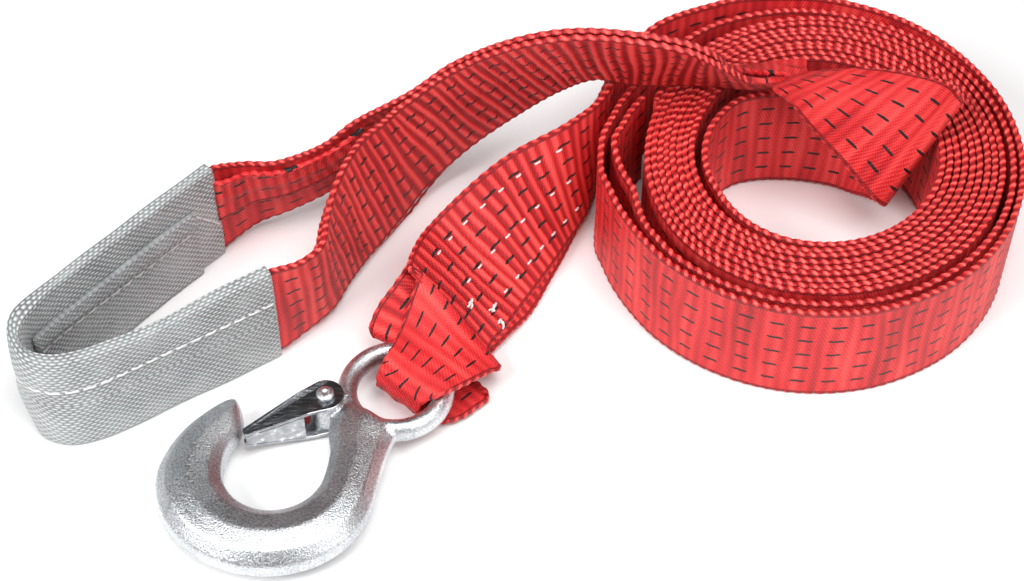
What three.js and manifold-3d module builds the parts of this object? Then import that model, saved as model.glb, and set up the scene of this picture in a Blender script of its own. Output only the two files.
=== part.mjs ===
// A tow strap: red webbing wound on edge into a roll, with a forged hook in one end
// and a sleeved soft eye at the other. Millimetres, +Z up, standing on z = 0.
import * as THREE from "three";
import { mergeVertices } from "three/addons/utils/BufferGeometryUtils.js";
import Module from "manifold-3d";

const wasm = await Module();
wasm.setup();

// Webbing
const WEB_WIDTH = 50;
const WEB_THICK = 3;
const SPLICE_THICK = 5.6;
const LEG_THICK = 5.2;
const CLEARANCE = 0.3;
// The width that the free routes below were laid out for; their widths follow WEB_WIDTH.
const ROUTE_WIDTH = 50;

// Roll
const BORE_RADIUS = 50;
const PACK_TURNS = 8;
const TURN_PITCH = 3.65;
const TURN_GROOVE = 1.1;
const GROOVE_WIDTH = 0.9;
const ROLL_SEGMENTS = 52;
// The left of the roll is pressed in, more at the outside than at the bore.
const PRESS_AT_BORE = 6;
const PRESS_AT_RIM = 11;
const PRESS_CENTRE = 160;
const PRESS_HALF_ANGLE = 100;

// Sleeve
const SLEEVE_WALL = 1.2;
const SLEEVE_ROOM = 0.4;

// Hook, round the centre of its bowl and lying flat
const HOOK_MID_HEIGHT = 10.2;
const BOWL_RADIUS = 19.5;
const EYE_MEAN_RADIUS = 19;
const EYE_BAR_WIDTH = 8;
const EYE_BAR_HEIGHT = 10;
const EYE_CENTRE = [-165.5, -92.5];
const EYE_TO_BOWL = [-44.5, -39];

// Latch
const LATCH_SHEET = 1.5;
const LATCH_CHEEK_GAP = 13.6;
const RIVET_RADIUS = 3;
const RIVET_HEAD_RADIUS = 4.2;
const RIVET_HEAD_HEIGHT = 1.6;

const RED = 0xd8222c;
const GREY = 0x9a9ea0;
const ZINC = 0xb9bdc2;

const part = new THREE.Group();
const radians = THREE.MathUtils.degToRad;

function finish(color, roughness, metalness) {
  return new THREE.MeshStandardMaterial({ color, roughness, metalness });
}

function addMesh(name, geometry, material) {
  const mesh = new THREE.Mesh(geometry, material);
  mesh.name = name;
  part.add(mesh);
  return mesh;
}

function polar(radius, degrees, z = 0) {
  const a = radians(degrees);
  return new THREE.Vector3(radius * Math.cos(a), radius * Math.sin(a), z);
}

// A closed skin through rings of points, each ring in the same order, with flat end caps.
function skin(rings) {
  const n = rings[0].length;
  const positions = rings.flat().flatMap((p) => [p.x, p.y, p.z]);
  const index = [];
  for (let i = 0; i + 1 < rings.length; i++)
    for (let j = 0; j < n; j++) {
      const a = i * n + j;
      const b = i * n + ((j + 1) % n);
      index.push(a, b, a + n, b, b + n, a + n);
    }
  const last = (rings.length - 1) * n;
  for (let j = 1; j + 1 < n; j++) {
    index.push(0, j + 1, j);
    index.push(last, last + j, last + j + 1);
  }
  const geometry = new THREE.BufferGeometry();
  geometry.setAttribute("position", new THREE.Float32BufferAttribute(positions, 3));
  geometry.setIndex(index);
  return facingOut(geometry);
}

// Turns every triangle round when the skin encloses a negative volume.
function facingOut(geometry) {
  const p = geometry.attributes.position;
  const id = geometry.index.array;
  const corner = (k) => new THREE.Vector3().fromBufferAttribute(p, id[k]);
  let volume = 0;
  for (let k = 0; k < id.length; k += 3)
    volume += corner(k).dot(corner(k + 1).cross(corner(k + 2)));
  if (volume < 0)
    for (let k = 0; k < id.length; k += 3) [id[k + 1], id[k + 2]] = [id[k + 2], id[k + 1]];
  geometry.computeVertexNormals();
  return geometry;
}

// One flat band. Each edge pair holds the band's lower and upper edge at a station;
// the upper edge is drawn in or out until the band has its real width.
function edgeCurves(pairs) {
  const widthScale = WEB_WIDTH / ROUTE_WIDTH;
  const low = pairs.map(([a]) => a.clone());
  const high = pairs.map(([a, b]) => a.clone().lerp(b, widthScale));
  return [low, high].map((points) => new THREE.CatmullRomCurve3(points, false, "centripetal"));
}

// The rows of a band. Where it meets another stretch, ends gives that stretch's face
// direction at the first or last row, so that the two ends are parallel.
function stations(pairs, steps, ends = {}) {
  const [low, high] = edgeCurves(pairs);
  const rows = [];
  for (let i = 0; i <= steps; i++) {
    const a = low.getPoint(i / steps);
    const b = high.getPoint(i / steps);
    rows.push({ centre: a.clone().lerp(b, 0.5), across: b.clone().sub(a) });
  }
  rows.forEach((row, i) => {
    const before = rows[Math.max(i - 1, 0)].centre;
    const after = rows[Math.min(i + 1, steps)].centre;
    const along = after.clone().sub(before);
    row.normal = new THREE.Vector3().crossVectors(row.across, along).normalize();
  });
  for (const [row, face] of [
    [rows[0], ends.first],
    [rows[steps], ends.last],
  ])
    if (face) row.normal = face.clone().multiplyScalar(Math.sign(face.dot(row.normal)));
  return rows;
}

// The pair of edges in line with a row of another stretch, a clearance on along its way
// (way 1) or before it (way -1), and set off towards its face by the given distance.
function inLine(row, way, setOff = 0) {
  const { centre, across, normal } = row;
  const on = new THREE.Vector3().crossVectors(normal, across).setLength(way * CLEARANCE);
  const low = centre.clone().addScaledVector(across, -0.5).add(on);
  low.addScaledVector(normal, setOff);
  return [low, low.clone().addScaledVector(across, ROUTE_WIDTH / WEB_WIDTH)];
}

function bandRing({ centre, across, normal }, thick) {
  return [
    [-0.5, -0.5],
    [0.5, -0.5],
    [0.5, 0.5],
    [-0.5, 0.5],
  ].map(([u, v]) =>
    centre
      .clone()
      .addScaledVector(across, u)
      .addScaledVector(normal, v * thick),
  );
}

function band(name, pairs, steps, thick, ends) {
  const rows = stations(pairs, steps, ends);
  addMesh(name, skin(rows.map((row) => bandRing(row, thick))), finish(RED, 0.75, 0));
  return rows;
}

// A pair of edges standing upright over (x, y), its lower edge at height z.
function upright(x, y, z = CLEARANCE) {
  return [new THREE.Vector3(x, y, z), new THREE.Vector3(x, y, z + ROUTE_WIDTH)];
}

function pair(lower, upper) {
  return [new THREE.Vector3(...lower), new THREE.Vector3(...upper)];
}

// The roll
const packRim = BORE_RADIUS + PACK_TURNS * TURN_PITCH;

function press(radius, degrees) {
  const away = Math.abs(((degrees - PRESS_CENTRE + 540) % 360) - 180);
  if (away >= PRESS_HALF_ANGLE) return radius;
  const share = Math.cos((away / PRESS_HALF_ANGLE) * (Math.PI / 2)) ** 2;
  const outward = (radius - BORE_RADIUS) / (packRim - BORE_RADIUS);
  return radius - share * THREE.MathUtils.lerp(PRESS_AT_BORE, PRESS_AT_RIM, outward);
}

function turnEnds(z, inward) {
  const points = [];
  for (let turn = 0; turn < PACK_TURNS; turn++) {
    const start = BORE_RADIUS + turn * TURN_PITCH;
    const end = start + TURN_PITCH;
    points.push([start + (turn ? GROOVE_WIDTH / 2 : 0), z]);
    if (turn + 1 < PACK_TURNS) {
      points.push([end - GROOVE_WIDTH / 2, z]);
      points.push([end, z + inward * TURN_GROOVE]);
    } else points.push([end, z]);
  }
  return points;
}

function pressedRing() {
  const outline = [...turnEnds(0, 1), ...turnEnds(WEB_WIDTH, -1).reverse()];
  outline.push(outline[0]);
  const profile = outline.map(([r, z]) => new THREE.Vector2(r, z));
  const lathe = new THREE.LatheGeometry(profile, ROLL_SEGMENTS);
  lathe.rotateX(Math.PI / 2);
  lathe.deleteAttribute("normal");
  lathe.deleteAttribute("uv");
  const ring = mergeVertices(lathe, 1e-3);
  const position = ring.attributes.position;
  for (let i = 0; i < position.count; i++) {
    const x = position.getX(i);
    const y = position.getY(i);
    const radius = Math.hypot(x, y);
    const scale = press(radius, THREE.MathUtils.radToDeg(Math.atan2(y, x))) / radius;
    position.setXYZ(i, x * scale, y * scale, position.getZ(i));
  }
  return facingOut(ring);
}

addMesh("webbing_coil", pressedRing(), finish(RED, 0.75, 0));

// Two loose turns round the pack. They stand off it at the left, by the amounts listed,
// and the first of them rides up a little at the back.
const secondTurn = packRim + CLEARANCE + WEB_THICK / 2;
const firstTurn = secondTurn + WEB_THICK + CLEARANCE;
const LOOSE_START = 112;
const BACK_RISE = 7;
// Degrees on from the back (clockwise), distance from the first turn's circle, height
const looseRoute = [
  [0, 2.6, BACK_RISE],
  [22, 0.4, BACK_RISE],
  [50, 0, BACK_RISE * 0.8],
  [85, 0, BACK_RISE * 0.3],
  [125, 0, 0],
  [165, 0, 0],
  [205, 0, 0],
  [245, 0, 0],
  [262, -0.4, 0],
  [277, 0.2, 0],
  [285, 1.3, 0],
  [296, -0.6, 0],
  [309, -4.2, 0],
  [322, -6.6, 0],
  [340, -6, 0],
  [360, -4.2, 0],
  [385, -3.3, 0],
  [420, -3.3, 0],
  [460, -3.3, 0],
  [500, -3.3, 0],
  [540, -3.3, 0],
  [580, -3.3, 0],
  [605, -3.3, 0],
  [621, -5, 0],
  [635, -8.8, 0],
  [644, -7, 0],
  [654, -5, 0],
  [664, -8.2, 0],
  [676, -12, 0],
];
const LOOSE_STEP = 6.76;

// The route's offset and rise at an angle between two of its listed stations.
function looseEdge(turned) {
  const next = Math.max(1, looseRoute.findIndex(([angle]) => angle >= turned - 1e-9));
  const [[a0, off0, rise0], [a1, off1, rise1]] = [looseRoute[next - 1], looseRoute[next]];
  const share = THREE.MathUtils.smoothstep(turned, a0, a1);
  const off = THREE.MathUtils.lerp(off0, off1, share);
  const p = polar(firstTurn + off, LOOSE_START - turned);
  return upright(p.x, p.y, CLEARANCE + THREE.MathUtils.lerp(rise0, rise1, share));
}
const looseSteps = Math.round(looseRoute.at(-1)[0] / LOOSE_STEP);
const looseEdges = Array.from({ length: looseSteps + 1 }, (_, i) =>
  looseEdge((i / looseSteps) * looseRoute.at(-1)[0]),
);
const looseRows = band("webbing_outer_turn", looseEdges, looseSteps, WEB_THICK);

// The doubled stretch to the hook: it starts in line with the first loose turn, goes
// round the back left of the roll, then out along the floor, leaning back more and more
// until the hook's eye gathers it. Its second layer lies on the outside.
const spliceRadius = firstTurn + WEB_THICK / 2 + CLEARANCE + SPLICE_THICK / 2;
const looseStart = looseRows[0];
const outwards = Math.sign(looseStart.normal.dot(looseStart.centre));
const hookSplice = [inLine(looseStart, -1, (outwards * (SPLICE_THICK - WEB_THICK)) / 2)];
for (const [angle, off, rise] of [
  [132, 0.8, BACK_RISE * 0.8],
  [148, 0.4, BACK_RISE * 0.3],
  [163, 0, 0],
]) {
  const p = polar(spliceRadius + off, angle);
  hookSplice.push(upright(p.x, p.y, CLEARANCE + rise));
}
hookSplice.push(
  pair([-90.5, 5, 0.8], [-99, 12, 49]),
  pair([-97.5, -12, 1.3], [-119, 0.5, 45]),
  pair([-104.5, -27, 2.1], [-133, -10.6, 41]),
  pair([-114, -46, 2.8], [-150, -25, 31.5]),
  pair([-121, -58, 3], [-157, -38, 32.5]),
  pair([-129, -71, 3], [-161, -52, 34]),
);
const hookRows = band("webbing_hook_splice", hookSplice, 44, SPLICE_THICK, {
  first: looseStart.normal,
});

// The bight through the hook's eye: over the far bar, down through the eye and back
// underneath, in line with the splice.
const hookUp = new THREE.Vector3(0.66, 0.75, 0).normalize();
const hookSide = new THREE.Vector3(-hookUp.y, hookUp.x, 0);
const eyeCentre = new THREE.Vector3(...EYE_CENTRE, HOOK_MID_HEIGHT);
const barTop = EYE_BAR_HEIGHT / 2 + CLEARANCE + WEB_THICK / 2;
const barUnder = barTop + 0.2;
const innerWall = EYE_MEAN_RADIUS - EYE_BAR_WIDTH / 2;

// A pair of edges across the strap, given as the distance from the eye's centre towards
// the roll, the height over the hook's middle plane, the half width and the sideways tilt.
function bightPair(towards, height, half, tilt = 0, shift = 0) {
  const middle = eyeCentre.clone().addScaledVector(hookUp, towards);
  middle.z += height;
  middle.addScaledVector(hookSide, shift);
  const arm = hookSide.clone().multiplyScalar(half);
  arm.z = tilt;
  return [middle.clone().sub(arm), middle.clone().add(arm)];
}
// The share of the webbing's width that the gathered loop starts with.
const GATHER = 0.7;
const gatherFrom = hookRows.at(-1);
const [gatherLow, gatherHigh] = inLine(gatherFrom, 1);
const bight = [
  [
    gatherLow.clone().lerp(gatherHigh, (1 - GATHER) / 2),
    gatherLow.clone().lerp(gatherHigh, (1 + GATHER) / 2),
  ],
  bightPair(30, 8.4, 15, 5, 0),
  bightPair(26, barTop + 2, 12, 1),
  bightPair(EYE_MEAN_RADIUS + 2, barTop + 0.6, 10),
  bightPair(innerWall - 2, barTop - 0.6, 9),
  bightPair(innerWall - 5.4, barTop - 5, 9),
  bightPair(innerWall - 5.8, 0, 9),
  bightPair(innerWall - 5.4, 4 - barUnder, 9),
  bightPair(innerWall - 2.6, 0.4 - barUnder, 9),
  bightPair(EYE_MEAN_RADIUS, -barUnder - 0.6, 11),
  bightPair(26, -barUnder - 0.6, 14),
  bightPair(34, -barUnder - 0.4, 15),
];
band("webbing_hook_loop", bight, 44, WEB_THICK, { first: gatherFrom.normal });

// The inner end: the innermost turn stands off the bore, folds over a slanting line at
// the right of the bore, and comes back up and over the roll as a twisting face.
const boreLine = (degrees) =>
  press(BORE_RADIUS, degrees) - CLEARANCE - WEB_THICK / 2;
const overRoll = WEB_WIDTH + 2;
const innerEnd = [215, 198, 182].map((angle) => {
  const p = polar(boreLine(angle), angle);
  return upright(p.x, p.y);
});
innerEnd.push(
  pair([-39.5, 10, 0.4], [-39.8, 11, 50.3]),
  pair([-34.5, 18.5, 0.4], [-34.5, 20, 50.3]),
  pair([-27, 25, 0.4], [-27, 27.5, 50.3]),
  pair([-18, 28, 0.4], [-18, 30.5, 50.3]),
  pair([-8, 28.8, 0.4], [-7, 31.6, 50.2]),
  pair([4, 27.7, 0.5], [8, 32, 50]),
  pair([15.9, 24.2, 1], [22.5, 29.5, 50]),
  pair([24, 18, 3], [35, 25.5, 53]),
  pair([28.5, 10, 9], [44.5, 17.5, 60]),
  pair([31.5, 3, 14], [52.5, 11, 68]),
  pair([33, -3, 18], [58, 4.2, 73.5]),
  pair([30, -4.2, 22], [56.5, 3.6, 77]),
  pair([24, 0, 26.5], [55.5, 9.5, 75]),
  pair([15.8, 6, 34], [50, 15.5, 73.5]),
  pair([5.9, 11.6, 43], [40, 20.5, 72]),
  pair([-1.7, 14.6, 51], [29.5, 25.5, 69]),
  pair([-8.4, 17, 59], [17, 30, 65]),
  pair([-15.8, 16, 67], [3.5, 32, 60.5]),
  pair([-19.5, 14.6, 71], [-2, 31.2, 58.5]),
);
band("webbing_inner_end", innerEnd, 104, WEB_THICK);

// The doubled stretch over the roll to the soft eye. It stands nearly on edge on the
// roll, leans towards the front, and comes down to the floor at the legs.
const eyeSplice = [
  pair([-4.6, 31.2, overRoll + 5.6], [-21.4, 14, 73]),
  pair([-9.5, 31, overRoll + 4.6], [-25.5, 13, 77]),
  pair([-22, 31, overRoll + 3.2], [-33.5, 9.5, 85]),
  pair([-36.3, 33.2, overRoll + 2.4], [-42, 8.1, 92]),
  pair([-50.2, 34, overRoll + 2.4], [-50.5, 9.5, 96]),
  pair([-69, 33, overRoll + 3.4], [-72, 13, 98.5]),
  pair([-86, 32.4, overRoll + 7], [-97, 15.5, 98]),
  pair([-100.4, 34.5, 50], [-122, 20, 88]),
  pair([-120, 35.3, 33], [-145, 24.5, 71]),
  pair([-138, 33, 18], [-162, 21.5, 58]),
  pair([-146, 30, 11.5], [-168.5, 18.8, 54]),
];
const spliceRows = band("webbing_eye_splice", eyeSplice, 48, SPLICE_THICK);

// The bight of the soft eye, upright inside its sleeve.
const sleeveMiddle = [
  [-213.8, -65.6],
  [-222, -71],
  [-232, -77.3],
  [-243, -84],
  [-255, -91.5],
  [-268, -99.8],
  [-280, -106.4],
  [-291, -109],
  [-300.5, -106],
  [-306, -98],
  [-306.2, -89],
  [-301, -79.6],
  [-292, -68.5],
  [-281, -56],
  [-269, -42.5],
  [-258, -30],
  [-249.5, -20.5],
  [-241.5, -12],
];
const SLEEVE_OVERHANG = 1.2;
const sleeveHeight = WEB_WIDTH + 2 * SLEEVE_ROOM + 2 * SLEEVE_WALL;
const webLift = SLEEVE_WALL + SLEEVE_ROOM;

function sleevePairs(height, inset) {
  const points = sleeveMiddle.map(([x, y]) => new THREE.Vector3(x, y, 0));
  const n = points.length;
  const pull = (end, next) => end.clone().add(next.clone().sub(end).setLength(inset));
  points[0] = pull(points[0], points[1]);
  points[n - 1] = pull(points[n - 1], points[n - 2]);
  return points.map((p) => upright(p.x, p.y, height));
}
band("webbing_eye_bight", sleevePairs(webLift, SLEEVE_OVERHANG), 60, WEB_THICK);

const sleeveRows = stations(sleevePairs(0, 0), 60);

// Where a leg meets the sleeve: in line with the sleeve's mouth, a clearance before it.
function atMouth(row, way) {
  const [low] = inLine(row, way);
  return upright(low.x, low.y, webLift);
}

// The front leg goes on from the doubled stretch. The back leg starts on the face behind
// it, folded lengthwise, so that it covers only a part of the width.
const SPLIT_BACK = 4;
const FOLDED_SPAN = [0.08, 0.8];
const spliceEnd = spliceRows.at(-1);
const mouths = [sleeveRows[0], sleeveRows.at(-1)];
const legFront = [
  inLine(spliceEnd, 1),
  pair([-157, 19, 4.5], [-174, 11.5, 50.5]),
  pair([-165, 7, 1.6], [-180, 5.5, 49.3]),
  pair([-172, -5, 1], [-186, -5, 49]),
  pair([-180, -17, 0.8], [-191, -20, 49]),
  pair([-188, -28, 0.8], [-194.5, -37, 48]),
  pair([-196, -39, 0.8], [-200, -50, 47]),
  pair([-204, -50, 0.8], [-207, -58, 48]),
  atMouth(mouths[0], -1),
];
const frontEnds = { first: spliceEnd.normal, last: mouths[0].normal };
band("webbing_leg_front", legFront, 36, LEG_THICK, frontEnds);

const splitAt = spliceRows.at(-SPLIT_BACK);
const backOff = SPLICE_THICK / 2 + CLEARANCE + LEG_THICK / 2;
const legBack = [
  FOLDED_SPAN.map((share) =>
    splitAt.centre
      .clone()
      .addScaledVector(splitAt.across, share - 0.5)
      .addScaledVector(splitAt.normal, -backOff),
  ),
  pair([-172, 31, 14], [-185, 19.5, 45]),
  pair([-186, 19.5, 13], [-196, 9.5, 43]),
  pair([-200, 10, 11], [-206, 3, 43]),
  pair([-214, 4.5, 7.5], [-217, -2, 43.5]),
  pair([-227, 1.5, 3.4], [-229, -5, 46.5]),
  atMouth(mouths[1], 1),
];
band("webbing_leg_back", legBack, 24, LEG_THICK, { first: splitAt.normal, last: mouths[1].normal });

// The sleeve's wall: an outer skin with a slot through it from end to end.
function sleeveTube() {
  const outerHalf = WEB_THICK / 2 + SLEEVE_ROOM + SLEEVE_WALL;
  const innerHalf = WEB_THICK / 2 + SLEEVE_ROOM;
  const ring = ({ centre, normal }, half, low, high) =>
    [
      [-1, low],
      [1, low],
      [1, high],
      [-1, high],
    ].map(([side, z]) => {
      const p = centre.clone().addScaledVector(normal, side * half);
      p.z = z;
      return p;
    });
  const rings = sleeveRows.map((row) => [
    ...ring(row, outerHalf, 0, sleeveHeight),
    ...ring(row, innerHalf, SLEEVE_WALL, sleeveHeight - SLEEVE_WALL),
  ]);
  const positions = rings.flat().flatMap((p) => [p.x, p.y, p.z]);
  const index = [];
  const quad = (a, b, c, d) => index.push(a, b, c, a, c, d);
  for (let i = 0; i + 1 < rings.length; i++)
    for (let j = 0; j < 4; j++) {
      const k = (j + 1) % 4;
      const [here, there] = [i * 8, (i + 1) * 8];
      quad(here + j, here + k, there + k, there + j);
      quad(here + 4 + k, here + 4 + j, there + 4 + j, there + 4 + k);
    }
  const end = (rings.length - 1) * 8;
  for (let j = 0; j < 4; j++) {
    const k = (j + 1) % 4;
    quad(j, 4 + j, 4 + k, k);
    quad(end + k, end + 4 + k, end + 4 + j, end + j);
  }
  const geometry = new THREE.BufferGeometry();
  geometry.setAttribute("position", new THREE.Float32BufferAttribute(positions, 3));
  geometry.setIndex(index);
  return facingOut(geometry);
}
addMesh("eye_sleeve", sleeveTube(), finish(GREY, 0.85, 0));

// The hook. Its sections run from the tip round the bowl to the neck: angle and radius
// round the bowl's centre, then the width in the hook's plane and the thickness.
const bowlCentre = [EYE_CENTRE[0] + EYE_TO_BOWL[0], EYE_CENTRE[1] + EYE_TO_BOWL[1]];
const hookSections = [
  [117, 15.5, 7, 7],
  [120, 13.6, 12, 11],
  [126, 12, 15.5, 13.5],
  [136, 11, 17.5, 15],
  [150, 11, 19.5, 16.5],
  [166, 11.4, 22, 18],
  [182, 12.3, 24.6, 19],
  [198, 12.8, 25.6, 19.6],
  [214, 12.8, 25.6, 20],
  [228, 12.6, 25.2, 20],
  [245, 12.4, 24.8, 20],
  [262, 12.2, 24.4, 20],
  [280, 12.1, 24.2, 19.6],
  [298, 12, 24, 19],
  [316, 11.6, 23.2, 18.4],
  [334, 10.8, 21.6, 17.6],
  [350, 10.2, 20.4, 16.6],
];
const neckSections = [
  [31, 5, 78, 21, 15.4],
  [31.5, 15, 72, 25, 14.2],
  [34, 23.5, 60, 26, 13],
  [35.4, 26, 56, 22, 11],
];

// A rounded section: flat on the bowl's side, full on the outside.
const SECTION_SHAPE = [
  [-1, -0.5],
  [-1, 0.5],
  [-0.62, 0.86],
  [0, 1],
  [0.62, 0.8],
  [1, 0.3],
  [1, -0.3],
  [0.62, -0.8],
  [0, -1],
  [-0.62, -0.86],
];

function hookRing(x, y, direction, width, thick) {
  const out = new THREE.Vector3(Math.cos(direction), Math.sin(direction), 0);
  return SECTION_SHAPE.map(([u, v]) =>
    new THREE.Vector3(bowlCentre[0] + x, bowlCentre[1] + y, HOOK_MID_HEIGHT)
      .addScaledVector(out, (u * width) / 2)
      .add(new THREE.Vector3(0, 0, (v * thick) / 2)),
  );
}

function solid(geometry) {
  const bare = geometry.clone();
  bare.deleteAttribute("normal");
  bare.deleteAttribute("uv");
  const merged = mergeVertices(bare, 1e-3);
  return new wasm.Manifold(
    new wasm.Mesh({
      numProp: 3,
      vertProperties: new Float32Array(merged.attributes.position.array),
      triVerts: new Uint32Array(merged.index.array),
    }),
  );
}

function fromSolid(made) {
  const mesh = made.getMesh();
  const geometry = new THREE.BufferGeometry();
  geometry.setAttribute("position", new THREE.BufferAttribute(mesh.vertProperties, 3));
  geometry.setIndex(new THREE.BufferAttribute(mesh.triVerts, 1));
  geometry.computeVertexNormals();
  return geometry;
}

function eyeRing() {
  const corners = 12;
  const profile = [];
  for (let i = 0; i <= corners; i++) {
    const a = (i / corners) * 2 * Math.PI;
    const r = EYE_MEAN_RADIUS + (EYE_BAR_WIDTH / 2) * Math.cos(a);
    profile.push(new THREE.Vector2(r, (EYE_BAR_HEIGHT / 2) * Math.sin(a)));
  }
  const ring = new THREE.LatheGeometry(profile, 40);
  ring.rotateX(Math.PI / 2);
  ring.translate(eyeCentre.x, eyeCentre.y, eyeCentre.z);
  const bare = ring.clone();
  bare.deleteAttribute("normal");
  bare.deleteAttribute("uv");
  return facingOut(mergeVertices(bare, 1e-3));
}

const hookRings = hookSections.map(([angle, extra, width, thick]) => {
  const a = radians(angle);
  const r = BOWL_RADIUS + extra;
  return hookRing(r * Math.cos(a), r * Math.sin(a), a, width, thick);
});
neckSections.forEach(([x, y, turn, width, thick]) => {
  hookRings.push(hookRing(x, y, radians(turn - 90), width, thick));
});
const rivetPlace = new THREE.Vector3(bowlCentre[0] + 18, bowlCentre[1] + 31, HOOK_MID_HEIGHT);
const hookBody = solid(skin(hookRings)).add(solid(eyeRing()));

function cylinderAt(place, radius, height, sides = 20) {
  const g = new THREE.CylinderGeometry(radius, radius, height, sides);
  g.rotateX(Math.PI / 2);
  g.translate(place.x, place.y, place.z);
  return g;
}

// The lug that carries the latch, drilled for the rivet.
const LUG_RADIUS = 6.4;
const LUG_HEIGHT = LATCH_CHEEK_GAP - 2 * CLEARANCE;
const lug = solid(cylinderAt(rivetPlace, LUG_RADIUS, LUG_HEIGHT, 24));
const rivetHole = solid(
  cylinderAt(rivetPlace, RIVET_RADIUS + CLEARANCE, LUG_HEIGHT + 12, 20),
);
const CHEEK_RADIUS = 7.2;
const cheekCuts = [1, -1].map((side) => {
  const place = rivetPlace.clone();
  place.z += side * (LUG_HEIGHT / 2 + 6);
  return solid(cylinderAt(place, CHEEK_RADIUS + 1.2, 12, 24));
});
const cut = cheekCuts.reduce((body, tool) => body.subtract(tool), hookBody.add(lug));
addMesh("hook", fromSolid(cut.subtract(rivetHole)), finish(ZINC, 0.4, 1));

// The latch: two cheeks on the rivet that taper to the tip, joined by a web.
const tipPlace = new THREE.Vector3(bowlCentre[0] - 12.4, bowlCentre[1] + 16.5, HOOK_MID_HEIGHT);
const latchRun = tipPlace.clone().sub(rivetPlace);
const latchLength = Math.hypot(latchRun.x, latchRun.y);
const latchAngle = Math.atan2(latchRun.y, latchRun.x);
const LATCH_TIP_WIDTH = 6;

function plate(outline, thick) {
  const shape = new THREE.Shape(outline.map(([x, y]) => new THREE.Vector2(x, y)));
  const g = new THREE.ExtrudeGeometry(shape, { depth: thick, bevelEnabled: false });
  g.translate(0, 0, -thick / 2);
  return g;
}

function cheekOutline(inset = 0) {
  const points = [];
  for (let i = 0; i <= 10; i++) {
    const a = Math.PI / 2 + (i / 10) * Math.PI;
    points.push([CHEEK_RADIUS * Math.cos(a), CHEEK_RADIUS * Math.sin(a)]);
  }
  points.push([latchLength, -LATCH_TIP_WIDTH / 2 + inset]);
  points.push([latchLength, LATCH_TIP_WIDTH / 2]);
  return points;
}

function latchSolid() {
  const cheekOffset = LATCH_CHEEK_GAP / 2 + LATCH_SHEET / 2;
  const cheeks = [1, -1].map((side) => {
    const g = plate(cheekOutline(), LATCH_SHEET);
    g.translate(0, 0, side * cheekOffset);
    return solid(g);
  });
  const slope = (CHEEK_RADIUS - LATCH_TIP_WIDTH / 2) / latchLength;
  const WEB_START = 11;
  const webTop = (x) => CHEEK_RADIUS - slope * x;
  const web = plate(
    [
      [WEB_START, webTop(WEB_START) - LATCH_SHEET],
      [latchLength, LATCH_TIP_WIDTH / 2 - LATCH_SHEET],
      [latchLength, LATCH_TIP_WIDTH / 2],
      [WEB_START, webTop(WEB_START)],
    ],
    LATCH_CHEEK_GAP + LATCH_SHEET,
  );
  const hole = solid(cylinderAt(new THREE.Vector3(), RIVET_RADIUS + CLEARANCE, 60));
  const joined = cheeks[0].add(cheeks[1]).add(solid(web)).subtract(hole);
  const g = fromSolid(joined);
  g.rotateZ(latchAngle);
  g.translate(rivetPlace.x, rivetPlace.y, rivetPlace.z);
  return g;
}
addMesh("latch", latchSolid(), finish(ZINC, 0.3, 1));

const rivetReach = LATCH_CHEEK_GAP / 2 + LATCH_SHEET + CLEARANCE;
const shank = solid(cylinderAt(rivetPlace, RIVET_RADIUS, 2 * rivetReach + 0.4, 20));
const heads = [1, -1].map((side) => {
  const place = rivetPlace.clone();
  place.z += side * (rivetReach + RIVET_HEAD_HEIGHT / 2);
  return solid(cylinderAt(place, RIVET_HEAD_RADIUS, RIVET_HEAD_HEIGHT, 20));
});
addMesh("latch_rivet", fromSolid(shank.add(heads[0]).add(heads[1])), finish(ZINC, 0.35, 1));

// The whole strap stands with the middle of its outline over the origin.
const box = new THREE.Box3().setFromObject(part);
const middle = box.getCenter(new THREE.Vector3());
part.position.set(-middle.x, -middle.y, -box.min.z);

export default part;
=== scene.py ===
# %% [markdown]
# # A coiled tow strap
# One long red webbing is wound on edge into a roll. One end carries a forged hook,
# the other a soft eye in a grey wear sleeve. This lesson dresses the measured frame of
# the strap: every piece is made where the frame says, in metres.

# %% Load the frame
import math

import bpy
import numpy as np
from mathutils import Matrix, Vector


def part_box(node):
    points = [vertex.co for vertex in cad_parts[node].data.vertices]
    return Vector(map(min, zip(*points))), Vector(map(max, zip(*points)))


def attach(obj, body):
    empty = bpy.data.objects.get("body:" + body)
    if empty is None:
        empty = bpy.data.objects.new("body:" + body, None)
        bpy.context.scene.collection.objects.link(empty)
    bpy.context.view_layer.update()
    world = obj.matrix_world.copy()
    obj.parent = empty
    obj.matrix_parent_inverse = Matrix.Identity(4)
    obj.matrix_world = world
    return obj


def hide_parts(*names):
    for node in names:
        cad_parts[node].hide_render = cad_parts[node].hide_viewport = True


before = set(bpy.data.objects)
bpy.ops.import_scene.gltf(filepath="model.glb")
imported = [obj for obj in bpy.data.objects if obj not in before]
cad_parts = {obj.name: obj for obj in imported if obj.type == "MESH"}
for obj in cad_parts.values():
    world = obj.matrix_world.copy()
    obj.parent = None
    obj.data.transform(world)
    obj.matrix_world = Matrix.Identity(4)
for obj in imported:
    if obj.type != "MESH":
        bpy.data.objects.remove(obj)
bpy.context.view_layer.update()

MM = 0.001
coil_low, coil_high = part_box("webbing_coil")
PACK_RIM = 79.2
# The roll isn't pressed in at its right and front, so these two sides give its axis.
axis = np.array([coil_high.x - PACK_RIM * MM, coil_low.y + PACK_RIM * MM, coil_low.z])


def to_frame(points):
    """Millimetres round the roll's axis to metres in the frame."""
    return np.asarray(points, float) * MM + axis


# %% [markdown]
# ## Camera
# The camera comes first, so that each piece can be judged in its real view. A long lens
# held about half a metre in front and two thirds of a metre up looks down at the strap
# by 50 degrees, which gives the roll its oval and keeps its sides nearly parallel.

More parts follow.
